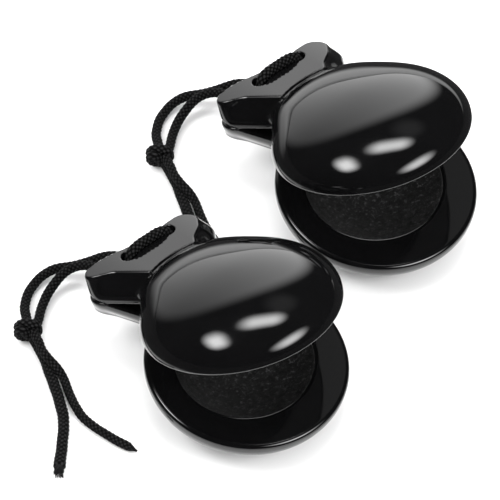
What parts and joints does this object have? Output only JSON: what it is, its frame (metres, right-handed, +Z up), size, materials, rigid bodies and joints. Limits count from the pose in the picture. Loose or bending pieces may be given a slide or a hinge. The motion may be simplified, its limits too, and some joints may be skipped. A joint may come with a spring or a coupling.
{
  "type": "castanets",
  "caption": "Pair of glossy black shell castanets, each laced through its ears with a knotted braided cord, lying open.",
  "frame": {"origin": "bottom centre of the box round the four shells, on the surface that the castanets lie on; the free cords are left out of that box", "axes": "+Z up, +Y from the shells' round bodies towards their ears, +X across the pair, towards the castanet that lies further back"},
  "size_m": [0.1685, 0.1347, 0.0568],
  "materials": {
    "shell": "polished gloss, with a rough matt hollow",
    "cord": "tightly braided, matt"
  },
  "bodies": {
    "left_bottom": {"left_bottom_shell": "shell", "left_cord_strand_a": "cord", "left_cord_strand_b": "cord", "left_cord_knot": "cord", "left_cord_tail_a": "cord", "left_cord_tail_b": "cord"},
    "left_top": {"left_top_shell": "shell", "left_cord_bridge": "cord"},
    "right_bottom": {"right_bottom_shell": "shell", "right_cord_strand_a": "cord", "right_cord_strand_b": "cord", "right_cord_knot": "cord", "right_cord_tail_a": "cord", "right_cord_tail_b": "cord"},
    "right_top": {"right_top_shell": "shell", "right_cord_bridge": "cord"}
  },
  "joints": [
    {"name": "left_opening", "type": "hinge", "parent": "left_bottom", "child": "left_top", "pos_m": [-0.038, 0.01644, 0.02372], "axis": [-1, 0, 0], "range_deg": [-27.5, 12], "stiffness_Nm_per_rad": 0.06, "springref_deg": 10.85},
    {"name": "right_opening", "type": "hinge", "parent": "right_bottom", "child": "right_top", "pos_m": [0.038, 0.04344, 0.02372], "axis": [-1, 0, 0], "range_deg": [-27.5, 12], "stiffness_Nm_per_rad": 0.06, "springref_deg": 10.85},
    {"name": "right_place", "type": "slide", "parent": "left_bottom", "child": "right_bottom", "axis": [1, 0, 0], "range_m": [0, 0.06]}
  ]
}
